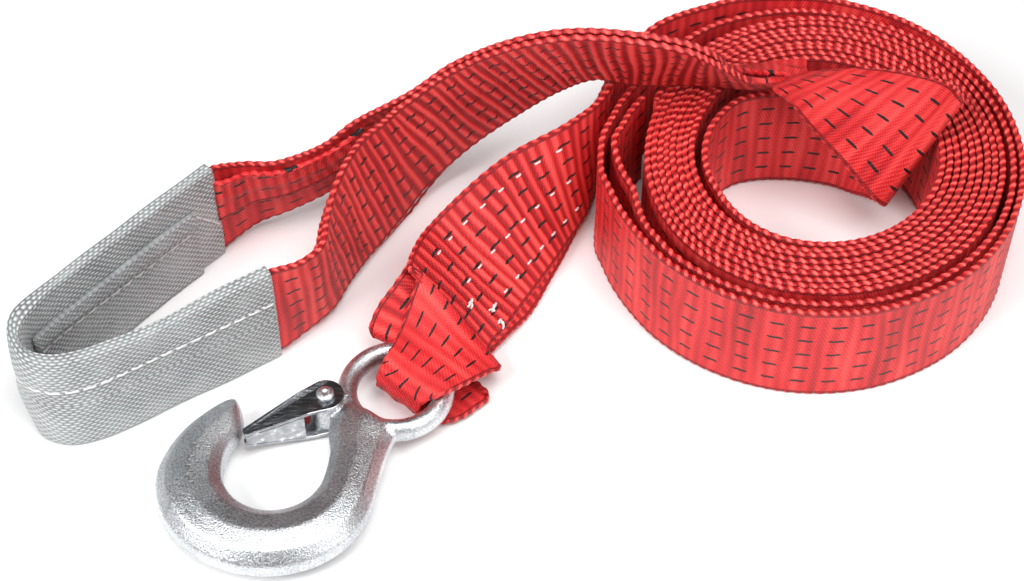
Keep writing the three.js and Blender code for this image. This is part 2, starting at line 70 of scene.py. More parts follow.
# %% Camera
LOOK_DOWN = 50.38
camera_data = bpy.data.cameras.new("studio_camera")
camera_data.lens = 74.39
camera_data.sensor_width = 36
camera_data.clip_start = 0.01
camera = bpy.data.objects.new("studio_camera", camera_data)
bpy.context.collection.objects.link(camera)
camera.location = to_frame((-120.3, -587.65, 669.61))
camera.rotation_euler = (math.radians(90 - LOOK_DOWN), 0, 0)
bpy.context.scene.camera = camera
print("camera at", [round(v, 3) for v in camera.location])

# %% [markdown]
# ## Node graphs
# Each finish is a small graph of shader nodes. Writing nodes one by one is long, so a
# helper makes one node a call: numbers go to a socket as values and sockets as links.

# %% A helper for node graphs
class Graph:
    """The nodes of one material, with a short call for each kind."""

    def __init__(self, name, **finish):
        self.material = bpy.data.materials.new(name)
        self.material.use_nodes = True
        self.nodes = self.material.node_tree.nodes
        self.shader = self.nodes["Principled BSDF"]
        for socket, value in finish.items():
            self.shader.inputs[socket.replace("_", " ")].default_value = value

    def plug(self, socket, value):
        if isinstance(value, bpy.types.NodeSocket):
            self.material.node_tree.links.new(value, socket)
        else:
            socket.default_value = value

    def calc(self, operation, *values):
        node = self.nodes.new("ShaderNodeMath")
        node.operation = operation
        for socket, value in zip(node.inputs, values):
            self.plug(socket, value)
        return node.outputs[0]

    def times(self, first, second):
        return self.calc("MULTIPLY", first, second)

    def wave(self, position, pitch, phase=0.0):
        """0 to 1 and back once for each pitch."""
        turns = self.times(position, 2 * math.pi / pitch)
        swing = self.calc("SINE", self.calc("ADD", turns, phase))
        return self.calc("MULTIPLY_ADD", swing, 0.5, 0.5)

    def vector(self, x, y, z=0.0):
        node = self.nodes.new("ShaderNodeCombineXYZ")
        for socket, value in zip(node.inputs, (x, y, z)):
            self.plug(socket, value)
        return node.outputs[0]

    def weave(self):
        """How far across and how far along the cloth, in millimetres."""
        node = self.nodes.new("ShaderNodeUVMap")
        node.uv_map = "Weave"
        split = self.nodes.new("ShaderNodeSeparateXYZ")
        self.plug(split.inputs[0], node.outputs[0])
        return [self.times(split.outputs[k], 1000.0) for k in (0, 1)]

    def painted(self, name):
        node = self.nodes.new("ShaderNodeAttribute")
        node.attribute_name = name
        return node.outputs["Fac"]

    def place(self):
        return self.nodes.new("ShaderNodeTexCoord").outputs["Object"]

    def noise(self, vector, scale, detail=2.0):
        node = self.nodes.new("ShaderNodeTexNoise")
        self.plug(node.inputs["Vector"], vector)
        node.inputs["Scale"].default_value = scale
        node.inputs["Detail"].default_value = detail
        return node.outputs[0]

    def ramp(self, factor, *stops):
        node = self.nodes.new("ShaderNodeValToRGB")
        self.plug(node.inputs[0], factor)
        elements = node.color_ramp.elements
        while len(elements) < len(stops):
            elements.new(0.5)
        for element, (position, colour) in zip(elements, stops):
            element.position = position
            element.color = (*colour, 1)
        return node.outputs[0]

    def mix(self, factor, first, second):
        node = self.nodes.new("ShaderNodeMix")
        node.data_type = "RGBA"
        for k, value in ((0, factor), (6, first), (7, second)):
            self.plug(node.inputs[k], (*value, 1) if isinstance(value, tuple) else value)
        return node.outputs[2]

    def bump(self, height, distance):
        node = self.nodes.new("ShaderNodeBump")
        node.inputs["Distance"].default_value = distance
        self.plug(node.inputs["Height"], height)
        return node.outputs[0]

    def done(self, colour, normal, roughness=None):
        self.plug(self.shader.inputs["Base Color"], colour)
        self.plug(self.shader.inputs["Normal"], normal)
        if roughness:
            self.plug(self.shader.inputs["Roughness"], roughness)
        return self.material


# %% [markdown]
# ## Webbing finish
# The webbing is polyester: glossy warp yarns run along it, thick weft ribs lie across
# it, and black marker yarns come up in five rows of dashes. The pattern follows the
# band, so it is worked out from a UV map that holds the distance across and along it in
# metres. Waves make the ribs and yarns, and the dashes are cut out with comparisons.

# %% Webbing finish
WEB_WIDTH = 50.0
DASH_ROWS = 5
DASH_PITCH = 11.4
DASH_LENGTH = 6.5
DASH_WIDTH = 1.15
RIB_PITCH = 4.6
YARN_PITCH = 0.85
PICK_PITCH = 1.3
BEAD_PITCH = 4.2
EDGE_HIGHLIGHT_FROM = 1.6


def webbing_finish():
    g = Graph("red_webbing", Roughness=0.5, Sheen_Weight=0.12, Sheen_Roughness=0.4)
    g.shader.inputs["Sheen Tint"].default_value = (1, 0.25, 0.22, 1)
    across, along = g.weave()
    stretched = g.vector(g.times(across, 0.015), g.times(along, 0.09))
    patch = g.noise(stretched, 1.0)
    rib = g.wave(along, RIB_PITCH)
    lane = g.calc("FLOOR", g.calc("DIVIDE", across, YARN_PITCH))
    pick = g.wave(along, PICK_PITCH, g.times(lane, 2.1))
    cell = g.times(g.wave(across, YARN_PITCH), pick)
    lift = g.calc("ADD", g.times(rib, 0.4), g.times(cell, 0.6))
    # Where the band is sewn, its ribs are pulled down hard and lie in shade between.
    shade = g.times(g.painted("sewn"), g.calc("MULTIPLY_ADD", rib, 0.5, -0.3))
    # The face colour carries painted light. Rib and yarn tops are painted lighter and the hollows
    # between them darker, the slow patch noise paints broad bands of highlight and shade along the
    # band, and the ramp's top stop is a painted salmon highlight.
    tone = g.calc("ADD", g.times(lift, 0.42), g.times(patch, 0.85))
    face = g.ramp(
        g.calc("ADD", tone, shade),
        (0.3, (0.36, 0.002, 0.005)),
        (0.55, (0.74, 0.010, 0.016)),
        (0.85, (0.95, 0.085, 0.075)),
    )
    # The corded edges get a painted highlight where a turn of yarn comes up and painted shade in
    # between, strongest at the outer rim.
    speckle = g.noise(g.place(), 700.0)
    yarn_turn = g.times(g.wave(along, BEAD_PITCH), 0.6)
    turn = g.calc("ADD", yarn_turn, g.times(speckle, 0.5))
    off_middle = g.calc("ABSOLUTE", g.calc("SUBTRACT", across, WEB_WIDTH / 2))
    past = g.calc("SUBTRACT", off_middle, WEB_WIDTH / 2 - EDGE_HIGHLIGHT_FROM)
    crest = g.calc("MINIMUM", g.calc("MAXIMUM", g.calc("MULTIPLY_ADD", past, 0.45, 0.35), 0.0), 1.0)
    turn = g.times(turn, crest)
    cord_with_painted_light = g.ramp(
        turn, (0.25, (0.26, 0.001, 0.004)), (0.6, (0.66, 0.009, 0.014)), (0.92, (0.95, 0.15, 0.12))
    )
    inside = g.calc("COMPARE", across, WEB_WIDTH / 2, WEB_WIDTH / 2 - 2.0)
    red = g.mix(inside, cord_with_painted_light, face)
    # Distance to the nearest marker row, and the share of the pitch that has gone by.
    row_gap = WEB_WIDTH / (DASH_ROWS + 1)
    row = g.calc("DIVIDE", across, row_gap)
    off_row = g.calc("ABSOLUTE", g.calc("SUBTRACT", row, g.calc("ROUND", row)))
    off_row = g.times(off_row, row_gap)
    inner = g.calc("COMPARE", across, WEB_WIDTH / 2, WEB_WIDTH / 2 - row_gap / 2)
    gone = g.calc("FRACT", g.calc("DIVIDE", along, DASH_PITCH))
    # A dash is fat in its middle: the sine falls below nothing past its end.
    taper = g.calc("SINE", g.times(gone, math.pi * DASH_PITCH / DASH_LENGTH))
    full = g.calc("MINIMUM", g.times(taper, 2.0), 1.0)
    thick = g.times(g.times(full, inner), DASH_WIDTH / 2)
    mark = g.calc("LESS_THAN", off_row, thick)
    colour = g.mix(mark, red, (0.006, 0.002, 0.003))
    return g.done(colour, g.bump(lift, 0.5 * MM))


red_webbing = webbing_finish()
print("webbing:", DASH_ROWS, "rows of dashes,", DASH_PITCH, "mm apart along the band")

# %% [markdown]
# ## Curves through edge pairs
# A flat band that twists is best laid out by its two edges. Each station is a pair of
# points, the lower and the upper edge, and a smooth curve runs through either edge. The
# curve is the centripetal kind, which never makes loops between uneven stations.

# %% Curves through edge pairs
SAMPLES_PER_SPAN = 24


def smooth_line(points):
    """A centripetal Catmull-Rom curve through the points, sampled evenly in each span."""
    points = np.asarray(points, float)
    padded = np.vstack([2 * points[0] - points[1], points, 2 * points[-1] - points[-2]])
    line = []
    for a, b, c, d in zip(padded, padded[1:], padded[2:], padded[3:]):
        spans = (b - a, c - b, d - c)
        t0, t1, t2 = (math.sqrt(max(np.linalg.norm(span), 1e-6)) for span in spans)
        leave = ((b - a) / t0 - (c - a) / (t0 + t1) + (c - b) / t1) * t1
        arrive = ((c - b) / t1 - (d - b) / (t1 + t2) + (d - c) / t2) * t1
        for t in np.arange(SAMPLES_PER_SPAN) / SAMPLES_PER_SPAN:
            line.append(
                b * (2 * t**3 - 3 * t**2 + 1)
                + leave * (t**3 - 2 * t**2 + t)
                + c * (3 * t**2 - 2 * t**3)
                + arrive * (t**3 - t**2)
            )
    return np.array(line + [points[-1]])


def unit(vectors):
    return vectors / np.linalg.norm(vectors, axis=-1, keepdims=True)


class Rows:
    """Cross lines of a band at even steps: their middles, half widths and directions, in mm."""

    def __init__(self, low, high, step, sewn=None):
        middle = (low + high) / 2
        gone = np.concatenate([[0], np.cumsum(np.linalg.norm(np.diff(middle, axis=0), axis=1))])
        self.along = np.linspace(0, gone[-1], int(gone[-1] / step) + 1)
        low, high = (self.at(gone, line) for line in (low, high))
        self.middle = (low + high) / 2
        self.across = unit(high - low)
        self.half = np.linalg.norm(high - low, axis=1) / 2
        forward = np.gradient(self.middle, axis=0)
        self.normal = unit(np.cross(self.across, forward))
        self.sewn = np.zeros(len(self.along)) if sewn is None else np.interp(self.along, gone, sewn)
        self.length = gone[-1]

    def at(self, gone, values):
        return np.column_stack([np.interp(self.along, gone, values[:, k]) for k in range(3)])

    def point(self, along, across, lift):
        """A point on the band: mm along it, mm across from its middle, mm off its middle sheet."""
        middle, side, out = (
            np.array([np.interp(along, self.along, v) for v in lines.T])
            for lines in (self.middle, self.across, self.normal)
        )
        return middle + side * across + out * lift


def band_rows(pairs, step):
    """Rows of a band through stations (lower edge, upper edge, share that is sewn)."""
    low, high = (smooth_line([p[k] for p in pairs]) for k in (0, 1))
    stations = np.arange(len(low)) / SAMPLES_PER_SPAN
    sewn = np.interp(stations, np.arange(len(pairs)), [p[2] if len(p) > 2 else 0 for p in pairs])
    return Rows(low, high, step, sewn)


# %% [markdown]
# ## Bands with woven edges
# A real webbing has a rounded, corded edge where the weft turns back, and it looks like
# a rope of small slanted lozenges. That relief shows on the whole top of the roll, so it
# is geometry: the section is two flat faces joined by round edge beads whose radius
# swells and shrinks along the band. Ribs and quilting lift the faces a little as well.

# %% Bands with woven edges
FACE_HALF = 1.15
BEAD_RADIUS = 1.38
BEAD_SWELL = 0.17
BEAD_SLANT = 1.2
BEAD_POINTS = 7
RIB_LIFT = 0.26
PLAIN_RIB, SEWN_RIB = 0.4, 1.5
QUILT_LIFT = 0.7
QUILT_ACROSS, QUILT_ALONG, QUILT_SLANT = 6.4, 5.2, 0.3
PLEAT_PITCH = 11.0
PLEAT_DEPTH = 0.8
RUN_AHEAD = 1.5
UNEVEN_LIFT = 0.12
PRESSED_FROM, PRESSED_RANGE = 12, 4
# Four slow waves with fixed phases stand for the uneven tension of a used band.
DRIFT = ((0.071, 0.9, 0.4), (0.113, 2.3, 1.7), (0.037, 4.1, 0.9), (0.187, 0.3, 2.9))


def drift(along, across=0.0):
    return sum(np.sin(along * rate + phase + across * 0.05 * turn) for rate, phase, turn in DRIFT) / 4


def link_mesh(name, points, faces, uv=None, material=None, smooth=True):
    """A mesh object from points in mm, with a UV in metres for each and one material."""
    mesh = bpy.data.meshes.new(name)
    mesh.from_pydata([tuple(v) for v in to_frame(np.reshape(points, (-1, 3)))], [], faces)
    if uv is not None:
        layer = mesh.uv_layers.new(name="Weave")
        corner = np.zeros(len(mesh.loops), int)
        mesh.loops.foreach_get("vertex_index", corner)
        layer.data.foreach_set("uv", np.reshape(uv, (-1, 2))[corner].astype(np.float32).ravel())
    mesh.polygons.foreach_set("use_smooth", [smooth] * len(mesh.polygons))
    piece = bpy.data.objects.new(name, mesh)
    bpy.context.collection.objects.link(piece)
    if material:
        mesh.materials.append(material)
    return piece


def tube_faces(rows, ring):
    """Quads round a tube of rings, with a flat cap at either end."""
    start = np.arange(rows - 1)[:, None] * ring
    here = start + np.arange(ring)[None]
    on = start + (np.arange(ring) + 1) % ring
    quads = np.stack([here, on, on + ring, here + ring], -1).reshape(-1, 4).tolist()
    return quads + [list(range(ring))[::-1], list(range((rows - 1) * ring, rows * ring))]


def make_band(name, rows, columns, ribs=RIB_LIFT, from_edge=False):
    """A closed band with corded edges."""
    flat = np.linspace(-1, 1, columns + 2)
    face, bead = np.ones(len(flat)), np.ones(BEAD_POINTS)
    turn = np.linspace(90, -90, BEAD_POINTS + 2)[1:-1] * math.pi / 180
    share = np.concatenate([flat, bead, flat[::-1], -bead])
    side = np.concatenate([face, 0 * bead, -face, 0 * bead])
    angle = np.concatenate([0 * face, turn, 0 * face, turn[::-1]])
    round_edge = (side == 0)[None]
    along, half, sewn = (values[:, None] for values in (rows.along, rows.half, rows.sewn))
    across = share[None] * (half - BEAD_RADIUS)
    # The woven distance runs a little ahead or behind, so that no two ribs are alike.
    woven = along + RUN_AHEAD * drift(along, across)
    woven = woven + BEAD_SLANT * angle * BEAD_PITCH / (2 * math.pi)
    swell = BEAD_RADIUS * (1 + BEAD_SWELL * np.sin(2 * math.pi * woven / BEAD_PITCH))
    rib = ribs * (PLAIN_RIB + SEWN_RIB * sewn) * np.sin(2 * math.pi * woven / RIB_PITCH)
    slanted = along + QUILT_SLANT * across
    cell = np.sin(math.pi * across / QUILT_ACROSS) * np.sin(math.pi * slanted / QUILT_ALONG)
    relief = rib + QUILT_LIFT * sewn * (np.abs(cell) ** 0.6 - 0.55)
    relief = relief * (1 - np.abs(share[None]) ** 8)
    out = np.where(round_edge, swell * np.sin(angle)[None], side[None] * FACE_HALF + relief)
    gathered = np.clip(1 - 2 * half / WEB_WIDTH, 0, 1)
    pleat = PLEAT_DEPTH * gathered * (1 - share[None] ** 2)
    out = out + pleat * np.sin(2 * math.pi * across / PLEAT_PITCH + 0.6)
    reach = across + np.where(round_edge, swell * np.cos(angle)[None] * share[None], 0)
    spots = (
        rows.middle[:, None]
        + rows.across[:, None] * reach[..., None]
        + rows.normal[:, None] * (out + UNEVEN_LIFT * drift(along))[..., None]
    )
    # A band pressed a little narrower keeps its five rows; a gathered one hides the outer ones.
    pressed = np.clip((half - PRESSED_FROM) / PRESSED_RANGE, 0, 1)
    pattern = 1 + (WEB_WIDTH / 2 / half - 1) * pressed
    shown = reach + half if from_edge else reach * pattern + WEB_WIDTH / 2
    uv = np.stack([shown * MM, woven * MM], -1)
    faces = tube_faces(len(rows.along), len(share))
    piece = link_mesh(name, spots, faces, uv, red_webbing)
    layer = piece.data.attributes.new("sewn", "FLOAT", "POINT")
    layer.data.foreach_set("value", np.repeat(rows.sewn, len(share)).astype(np.float32))
    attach(piece, "strap")
    print(name, "is", round(rows.length), "mm long with", 2 * len(faces), "triangles")
    return piece


# %% [markdown]
# ## The roll
# The tight turns are a spiral that starts at the bore and ends under the soft eye's
# stretch. The roll was pressed a little at its left, so every radius there is drawn in,
# more at the rim than at the bore. One spiral band is truer than stacked rings: its
# edges drift outwards and no two turns line up.

# %% The roll
BORE_RADIUS = 50.0
PRESS_AT_BORE, PRESS_AT_RIM = 6.0, 11.0
PRESS_CENTRE, PRESS_HALF_ANGLE = 160.0, 100.0
WEB_THICK = 3.0
CLEARANCE = 0.3
SPIRAL_START, SPIRAL_END = 215.0, 156.0
SPIRAL_TURNS = 9
SPIRAL_STEP = 0.9
ROLL_LIFT = 0.6
END_DRAWN_IN, END_DEGREES = 3.0, 60


def press(radius, degrees):
    away = np.abs((degrees - PRESS_CENTRE + 540) % 360 - 180)
    share = np.where(away < PRESS_HALF_ANGLE, np.cos(away / PRESS_HALF_ANGLE * math.pi / 2) ** 2, 0)
    outward = (radius - BORE_RADIUS) / (PACK_RIM - BORE_RADIUS)
    return radius - share * (PRESS_AT_BORE + (PRESS_AT_RIM - PRESS_AT_BORE) * outward)


def polar(radius, degrees):
    angle = np.radians(degrees)
    return np.stack([radius * np.cos(angle), radius * np.sin(angle)], -1)


def upright(flat_points, z, height=WEB_WIDTH):
    """Lower and upper edge over each (x, y)."""
    flat_points = np.atleast_2d(flat_points)
    z, height = (np.broadcast_to(v, len(flat_points)) for v in (z, height))
    return [np.column_stack([flat_points, z + up]) for up in (0 * height, height)]


def upright_pairs(flat_points, z, height=WEB_WIDTH, sewn=0):
    """The same as stations of a band: lower edge, upper edge, share that is sewn."""
    return [(low, high, sewn) for low, high in zip(*upright(flat_points, z, height))]


sweep = 360 * SPIRAL_TURNS + SPIRAL_END - SPIRAL_START
turned = np.arange(0, sweep, SPIRAL_STEP)
first, last = BORE_RADIUS + WEB_THICK / 2, PACK_RIM - WEB_THICK / 2
spiral_radius = first + (last - first) * turned / sweep
spiral_radius -= END_DRAWN_IN * np.clip(1 - turned / END_DEGREES, 0, 1) ** 2
spiral = polar(press(spiral_radius, SPIRAL_START + turned), SPIRAL_START + turned)
uneven = 0.55 * np.sin(turned * 0.0171) + 0.35 * np.sin(turned * 0.041 + 1)
roll_rows = Rows(*upright(spiral, CLEARANCE + ROLL_LIFT + uneven), step=1.35)
coil_turns = make_band("coil_turns", roll_rows, 3, ribs=0.08)
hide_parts("webbing_coil")

# %% [markdown]
# ## Loose turns, hook stretch and loop
# The last two turns stand off the roll. From there the same band runs to the hook,
# passes through the hook's eye and comes back along itself, so the stretch is double.
# It is built as what it is: one band, laid out by listing its stations in order, with
# the way back set off behind the way out and a few millimetres to the side.

# %% Routes of the hook end
PACK_SECOND = PACK_RIM + CLEARANCE + WEB_THICK / 2
FIRST_TURN = PACK_SECOND + WEB_THICK + CLEARANCE
LOOSE_START = 112.0
BACK_RISE = 4.5
LAYER = 1.45
LAYER_SHIFT = 2.8
# Degrees on from the back (clockwise), distance from the first turn's circle, height
loose_route = np.array([
    [0, 2.6, BACK_RISE], [22, 0.4, BACK_RISE], [50, 0, BACK_RISE * 0.8], [85, 0, BACK_RISE * 0.3],
    [125, 0.3, 0], [165, 1, 0], [205, 1.3, 0], [245, 0.8, 0], [262, 0, 0], [277, 0.2, 0],
    [285, 1.3, 0], [296, -0.6, 0], [309, -4.2, 0], [322, -6.6, 0], [340, -6, 0], [360, -4.2, 0],
    [385, -3.3, 0], [605, -3.3, 0], [621, -5, 0], [635, -8.8, 0], [644, -7, 0], [654, -5, 0],
    [664, -8.2, 0], [676, -12, 0],
])


def eased(at, stations, values):
    """Between stations a value eases from one to the next."""
    k = np.clip(np.searchsorted(stations, at), 1, len(stations) - 1)
    share = np.clip((at - stations[k - 1]) / (stations[k] - stations[k - 1]), 0, 1)
    share = share**2 * (3 - 2 * share)
    return values[k - 1] + (values[k] - values[k - 1]) * share


def set_off(pairs, layer, shift):
    """The same stations moved off their face by layer and across by shift."""
    pairs = [(np.asarray(p[0], float), np.asarray(p[1], float), *p[2:]) for p in pairs]
    middle = np.array([(p[0] + p[1]) / 2 for p in pairs])
    across = unit(np.array([p[1] - p[0] for p in pairs]))
    normal = unit(np.cross(across, np.gradient(middle, axis=0)))
    moved = normal * layer + across * shift
    return [(p[0] + m, p[1] + m, *p[2:]) for p, m in zip(pairs, moved)]


at_angle = np.arange(0, loose_route[-1, 0] + 0.1, 6.76)
loose_off = eased(at_angle, loose_route[:, 0], loose_route[:, 1])
loose_rise = eased(at_angle, loose_route[:, 0], loose_route[:, 2])
loose_line = polar(FIRST_TURN + loose_off, LOOSE_START - at_angle)
loose_pairs = upright_pairs(loose_line, CLEARANCE + loose_rise)[::-1]

splice_radius = FIRST_TURN + 4.6
round_back = [(132, 0.8, BACK_RISE * 0.8), (148, 0.4, BACK_RISE * 0.3), (163, 0, 0)]
hook_pairs = []
for degrees, off, rise in round_back:
    hook_pairs += upright_pairs(polar(splice_radius + off, degrees), CLEARANCE + rise, sewn=0.15)
hook_pairs += [
    ((-90.5, 5, 0.8), (-99, 12, 49), 0.5), ((-97.5, -12, 1.3), (-119, 0.5, 45), 0.9),
    ((-104.5, -27, 2.1), (-133, -10.6, 41), 1), ((-114, -46, 2.8), (-150, -25, 31.5), 1),
    ((-121, -58, 3), (-157, -38, 32.5), 1), ((-129, -71, 3), (-160, -53, 34), 0.8),
]

# The loop, in the hook's own directions: towards the roll and across the strap
EYE_CENTRE = np.array([-165.5, -92.5, 10.2])
towards_roll = unit(np.array([0.66, 0.75, 0.0]))
across_strap = np.array([-towards_roll[1], towards_roll[0], 0])


def loop_pair(towards, height, half, tilt, shift):
    middle = EYE_CENTRE + towards_roll * towards + across_strap * shift + (0, 0, height)
    arm = across_strap * half + (0, 0, tilt)
    return (middle - arm, middle + arm, 0)


# Towards the roll, height over the eye's middle, half width, tilt, shift across
loop_pairs = [loop_pair(*station) for station in (
    (36, 11.4, 21.5, 13.5, -1), (31, 10.4, 20.6, 9.5, -2), (25, 9.6, 19.8, 5, -3.4),
    (19, 9, 18.6, 2, -4.4), (12, 8.8, 17, 0, -5), (5, 7.6, 14.4, 0, -4.2),
    (0.5, 4.2, 12, 0, -2.6), (-1.2, 0.3, 11.3, 0, -2.2), (0, -3.8, 11.8, 0, -2.4),
    (4, -6.7, 15, 0, -5.5), (11, -7.4, 18, 0, -6.5), (18, -7.2, 20, 0.6, -5.5),
    (26, -6.6, 21.5, 1.6, -4),
)]
# The way back bulges out at the left before it lies flat under the way out.
bulge_pairs = [
    ((-136, -80, 3), (-176.5, -69, 17), 0.2), ((-133, -76, 3), (-174, -63, 24), 0.4),
    ((-128, -68, 3), (-167, -54, 29), 0.6), ((-122, -60, 3), (-159.5, -42, 31.5), 0.8),
]
station_count = len(loose_pairs) + len(hook_pairs) + len(loop_pairs)
print(station_count, "stations from the roll to the hook's eye")

# %% [markdown]
# ## Two layers from one list
# The stretch to the hook lies double. The same stations, moved off their face to either
# side, give the way out and the way back, so both twist alike.

# %% The hook end as one band
way_out = set_off(hook_pairs, LAYER, LAYER_SHIFT)
way_back = set_off(hook_pairs, -LAYER, -LAYER_SHIFT)[::-1]
# The shifted layer stays on the floor at its lower edge.
on_floor = np.array([-np.inf, -np.inf, 1.0])
way_back = [(np.maximum(low, on_floor), high, sewn) for low, high, sewn in way_back]
hook_end_pairs = loose_pairs + way_out + loop_pairs + bulge_pairs + way_back[2:]
hook_rows = band_rows(hook_end_pairs, step=1.3)
hook_end = make_band("hook_end_webbing", hook_rows, 15)
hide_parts("webbing_outer_turn", "webbing_hook_splice", "webbing_hook_loop")

# %% [markdown]
# ## Inner end, fold and soft eye
# The innermost turn comes off the bore, folds over a slanting line and returns over the
# roll. It then runs to the soft eye, round inside the sleeve and back along itself to a
# cut end behind the fold. Again it is one band through listed edge pairs.

# %% Routes of the eye end
inner_pairs = []
for degrees in (215, 198, 182):
    spot = polar(press(BORE_RADIUS, degrees) - CLEARANCE - WEB_THICK / 2, degrees)
    inner_pairs += upright_pairs(spot, CLEARANCE)
inner_pairs += [
    ((-39.5, 10, 0.4), (-39.8, 11, 50.3)), ((-34.5, 18.5, 0.4), (-34.5, 20, 50.3)),
    ((-27, 25, 0.4), (-27, 27.5, 50.3)), ((-18, 28, 0.4), (-18, 30.5, 50.3)),
    ((-8, 28.8, 0.4), (-7, 31.6, 50.2)), ((4, 27.7, 0.5), (8, 32, 50)),
    ((15.9, 24.2, 1), (22.5, 29.5, 50)), ((24, 18, 3), (35, 25.5, 53)),
    ((28.5, 10, 9), (44.5, 17.5, 60)), ((31.5, 3, 14), (52.5, 11, 68)),
    ((33, -3, 18), (58, 4.2, 73.5)), ((30, -4.2, 22), (56.5, 3.6, 77)),
    ((24, 0, 26.5), (55.5, 9.5, 75)), ((15.8, 6, 34), (50, 15.5, 73.5)),
    ((5.9, 11.6, 43), (40, 20.5, 72)), ((-1.7, 14.6, 51), (29.5, 25.5, 69)),
    ((-8.4, 17, 59), (17, 30, 65)), ((-15.8, 16, 67), (3.5, 32, 60.5)),
]
splice_pairs = [
    ((-9.5, 31, 56.6), (-25.5, 13, 77), 0.3), ((-22, 31, 55.2), (-33.5, 9.5, 85), 0.6),
    ((-36.3, 33.2, 54.4), (-42, 8.1, 92), 0.8), ((-50.2, 34, 54.4), (-50.5, 9.5, 96), 1),
    ((-69, 33, 55.4), (-72, 13, 98.5), 1), ((-86, 32.4, 59), (-97, 15.5, 98), 1),
    ((-100.4, 34.5, 50), (-122, 20, 88), 1), ((-120, 35.3, 33), (-145, 24.5, 71), 1),
    ((-138, 33, 18), (-162, 21.5, 58), 1), ((-146, 30, 11.5), (-168.5, 18.8, 54), 0.9),
]
front_leg_pairs = [
    ((-157, 19, 4.5), (-174, 11.5, 50.5), 0.8), ((-165, 7, 1.6), (-181, 4.5, 49.3), 0.8),
    ((-173, -6, 1), (-187, -8, 49), 0.8), ((-181, -18, 0.8), (-191.5, -23, 49), 0.8),
    ((-188, -30, 0.8), (-194, -39, 49), 0.8), ((-194, -43, 0.8), (-195.5, -52, 48.6), 0.6),
    ((-203, -54, 0.8), (-203.5, -60, 48.2), 0.3),
]
back_leg_pairs = [
    ((-172, 31, 14), (-185, 19.5, 45)), ((-186, 19.5, 13), (-196, 9.5, 43)),
    ((-200, 10, 11), (-206, 3, 43)), ((-214, 4.5, 7.5), (-217, -2, 43.5)),
    ((-227, 1.5, 3.4), (-229, -5, 46.5)),
]
sleeve_middle = np.array([
    [-213.8, -65.6], [-222, -71], [-232, -77.3], [-243, -84], [-255, -91.5], [-268, -99.8],
    [-280, -106.4], [-291, -109], [-300.5, -106], [-306, -98], [-306.2, -89], [-301, -79.6],
    [-292, -68.5], [-281, -56], [-269, -42.5], [-258, -30], [-249.5, -20.5], [-241.5, -12],
])
# Inside the sleeve the band is squeezed, so that its upper edge stays covered.
squeeze_at, squeezed_to = [0, 1, 3, 6, 12, 16, 17], [49, 46, 44, 44, 45, 47, 49]
bight_height = np.interp(np.arange(len(sleeve_middle)), squeeze_at, squeezed_to)
bight_pairs = upright_pairs(sleeve_middle, 1.6, bight_height)

# %% [markdown]
# ## The soft eye's layers
# The eye's band joins its routes in order. The front leg's second layer and the back
# leg's folded flap are short bands of their own, since they end where they were sewn.

# %% The eye end as one band
tail_pairs = [
    ((-30, 39, 54.8), (-33, 17, 78), 0.2), ((-20, 41.5, 55.3), (-20, 25, 67.5), 0),
    ((-9, 43.2, 55.8), (-9, 29, 62), 0), ((1.3, 44.2, 56), (0, 27, 58.5), 0),
]
eye_end_pairs = inner_pairs + set_off(splice_pairs, LAYER, 0)
eye_end_pairs += set_off(front_leg_pairs, LAYER, LAYER_SHIFT) + bight_pairs + back_leg_pairs[::-1]
eye_end_pairs += set_off(splice_pairs[2:-1], -LAYER, 0)[::-1] + tail_pairs
eye_rows = band_rows(eye_end_pairs, step=1.15)
eye_end = make_band("eye_end_webbing", eye_rows, 17)
eye_nodes = ("inner_end", "eye_splice", "leg_front", "leg_back", "eye_bight")
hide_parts(*("webbing_" + node for node in eye_nodes))

# The front leg's second layer shows as a plain strip along its lower edge.
under_pairs = set_off(splice_pairs[-2:] + front_leg_pairs, -LAYER, -LAYER_SHIFT)
under_rows = band_rows(under_pairs, step=1.2)
under_layer = make_band("front_leg_under_layer", under_rows, 9)

# The back leg is folded lengthwise, and its front flap covers the upper part.
FLAP_FROM, FLAP_TO = 0.44, 0.92
FLAP_OFF = 2.9


def upper_part(pair):
    low, high = (np.asarray(v, float) for v in pair[:2])
    return low + (high - low) * FLAP_FROM, low + (high - low) * FLAP_TO, 0.2


flap_stations = back_leg_pairs + [
    ((-236, -6, 2.2), (-237, -10.5, 48)), ((-241.5, -12, 1.6), (-241.5, -12, 49)),
]
flap_rows = band_rows(set_off([upper_part(p) for p in flap_stations], FLAP_OFF, 0), step=1.2)
back_flap = make_band("back_leg_flap", flap_rows, 11, from_edge=True)

# %% [markdown]
# ## Wear sleeve
# The sleeve is a flat tube of coarse grey cloth. Its weave is a plain one: each yarn
# goes over one and under one, so raised pads and sunken pits alternate like a chessboard.
# The pads come from two waves multiplied, half a pitch out of step in the next lane.
# The pads are painted bright as lit tops and the pits painted dark as shade between.

# %% Sleeve finish
SLEEVE_PITCH = 1.45


